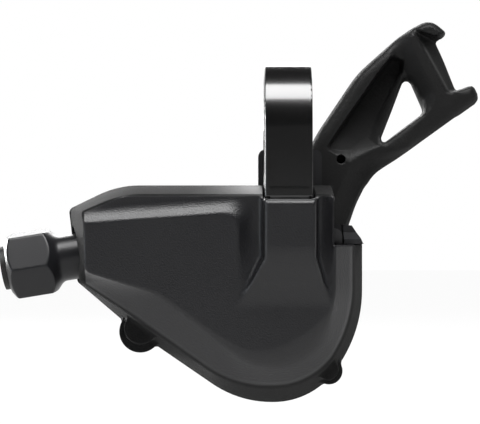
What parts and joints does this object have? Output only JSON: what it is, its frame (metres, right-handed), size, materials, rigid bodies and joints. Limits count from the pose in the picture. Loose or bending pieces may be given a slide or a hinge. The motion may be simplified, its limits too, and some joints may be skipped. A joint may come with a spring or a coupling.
{
  "type": "trigger gear shifter",
  "caption": "Bar-mounted trigger gear shifter: moulded two-part body, folded clamp band, rear thumb lever and six-sided cable adjuster, with the ratchet mechanism inside.",
  "frame": {"origin": "centre of the handlebar clamp's bore, midway along the clamp band", "axes": "+X along the handlebar, away from the cable adjuster; +Z from the body towards the bar; the moulded cover faces -Y and the thumb lever is at +Y"},
  "size_m": [0.1025, 0.044, 0.0815],
  "materials": {
    "cover_plastic": "satin moulded, finely grained in the scoop",
    "body_plastic": "satin moulded",
    "lever_plastic": "matte, rough near the root",
    "knob_plastic": "satin moulded",
    "drum_plastic": "satin moulded",
    "bush_plastic": "satin moulded",
    "plug_rubber": "matte",
    "black_anodised": "glossy black anodised",
    "dark_steel": "black zinc plated",
    "plate_steel": "stamped and zinc plated",
    "spring_steel": "drawn wire and strip"
  },
  "bodies": {
    "housing": {"front_cover": "cover_plastic", "base_housing": "body_plastic", "clamp_band": "black_anodised", "clamp_bolt": "dark_steel", "base_plate": "plate_steel", "top_plate": "plate_steel", "spacer_posts": "plate_steel", "main_axle": "dark_steel", "axle_nut": "dark_steel", "axle_washer": "plate_steel", "drum_spring": "spring_steel", "lever_return_spring": "spring_steel", "hold_pawl_pin": "plate_steel", "thrust_washer": "bush_plastic", "lever_screw": "dark_steel", "adjuster_spring": "spring_steel", "cover_screws": "dark_steel", "plate_screws": "plate_steel", "cable_plug": "plug_rubber"},
    "lever": {"shift_lever": "lever_plastic", "lever_bush": "bush_plastic", "drive_plate": "plate_steel", "drive_pawl_pin": "plate_steel"},
    "drum": {"cable_drum": "drum_plastic", "ratchet_wheel": "plate_steel"},
    "drive_pawl_body": {"drive_pawl": "dark_steel", "drive_pawl_spring": "spring_steel"},
    "hold_pawl_body": {"hold_pawl": "dark_steel", "hold_pawl_spring": "spring_steel"},
    "knob": {"adjuster_knob": "knob_plastic"},
    "barrel": {"adjuster_barrel": "black_anodised"}
  },
  "joints": [
    {"name": "lever_swing", "type": "hinge", "parent": "housing", "child": "lever", "pos_m": [-0.001, 0, -0.032], "axis": [0, -1, 0], "range_deg": [0, 36], "stiffness_Nm_per_rad": 0.15, "springref_deg": -11.46},
    {"name": "drum_turn", "type": "hinge", "parent": "housing", "child": "drum", "pos_m": [-0.001, 0, -0.032], "axis": [0, -1, 0], "range_deg": [0, 36]},
    {"name": "hold_pawl_lift", "type": "hinge", "parent": "housing", "child": "hold_pawl_body", "pos_m": [-0.01266, 0, -0.02808], "axis": [0, 1, 0], "range_deg": [0, 18]},
    {"name": "drive_pawl_lift", "type": "hinge", "parent": "lever", "child": "drive_pawl_body", "pos_m": [-0.00113, 0, -0.0443], "axis": [0, 1, 0], "range_deg": [0, 10], "stiffness_Nm_per_rad": 0.01, "springref_deg": -5.73},
    {"name": "knob_turn", "type": "hinge", "parent": "housing", "child": "knob", "pos_m": [-0.0536, 0.0032, -0.0281], "axis": [-0.9869, 0, -0.1616], "range_deg": [0, 1080]},
    {"name": "barrel_travel", "type": "slide", "parent": "housing", "child": "barrel", "axis": [-0.9869, 0, -0.1616], "range_m": [0, 0.003]}
  ],
  "couplings": [
    {"joint": "drum_turn", "follows": "lever_swing", "ratio": 1},
    {"joint": "hold_pawl_lift", "follows": "lever_swing", "ratio": 0.5},
    {"joint": "knob_turn", "follows": "barrel_travel", "rad_per_m": 6283}
  ]
}
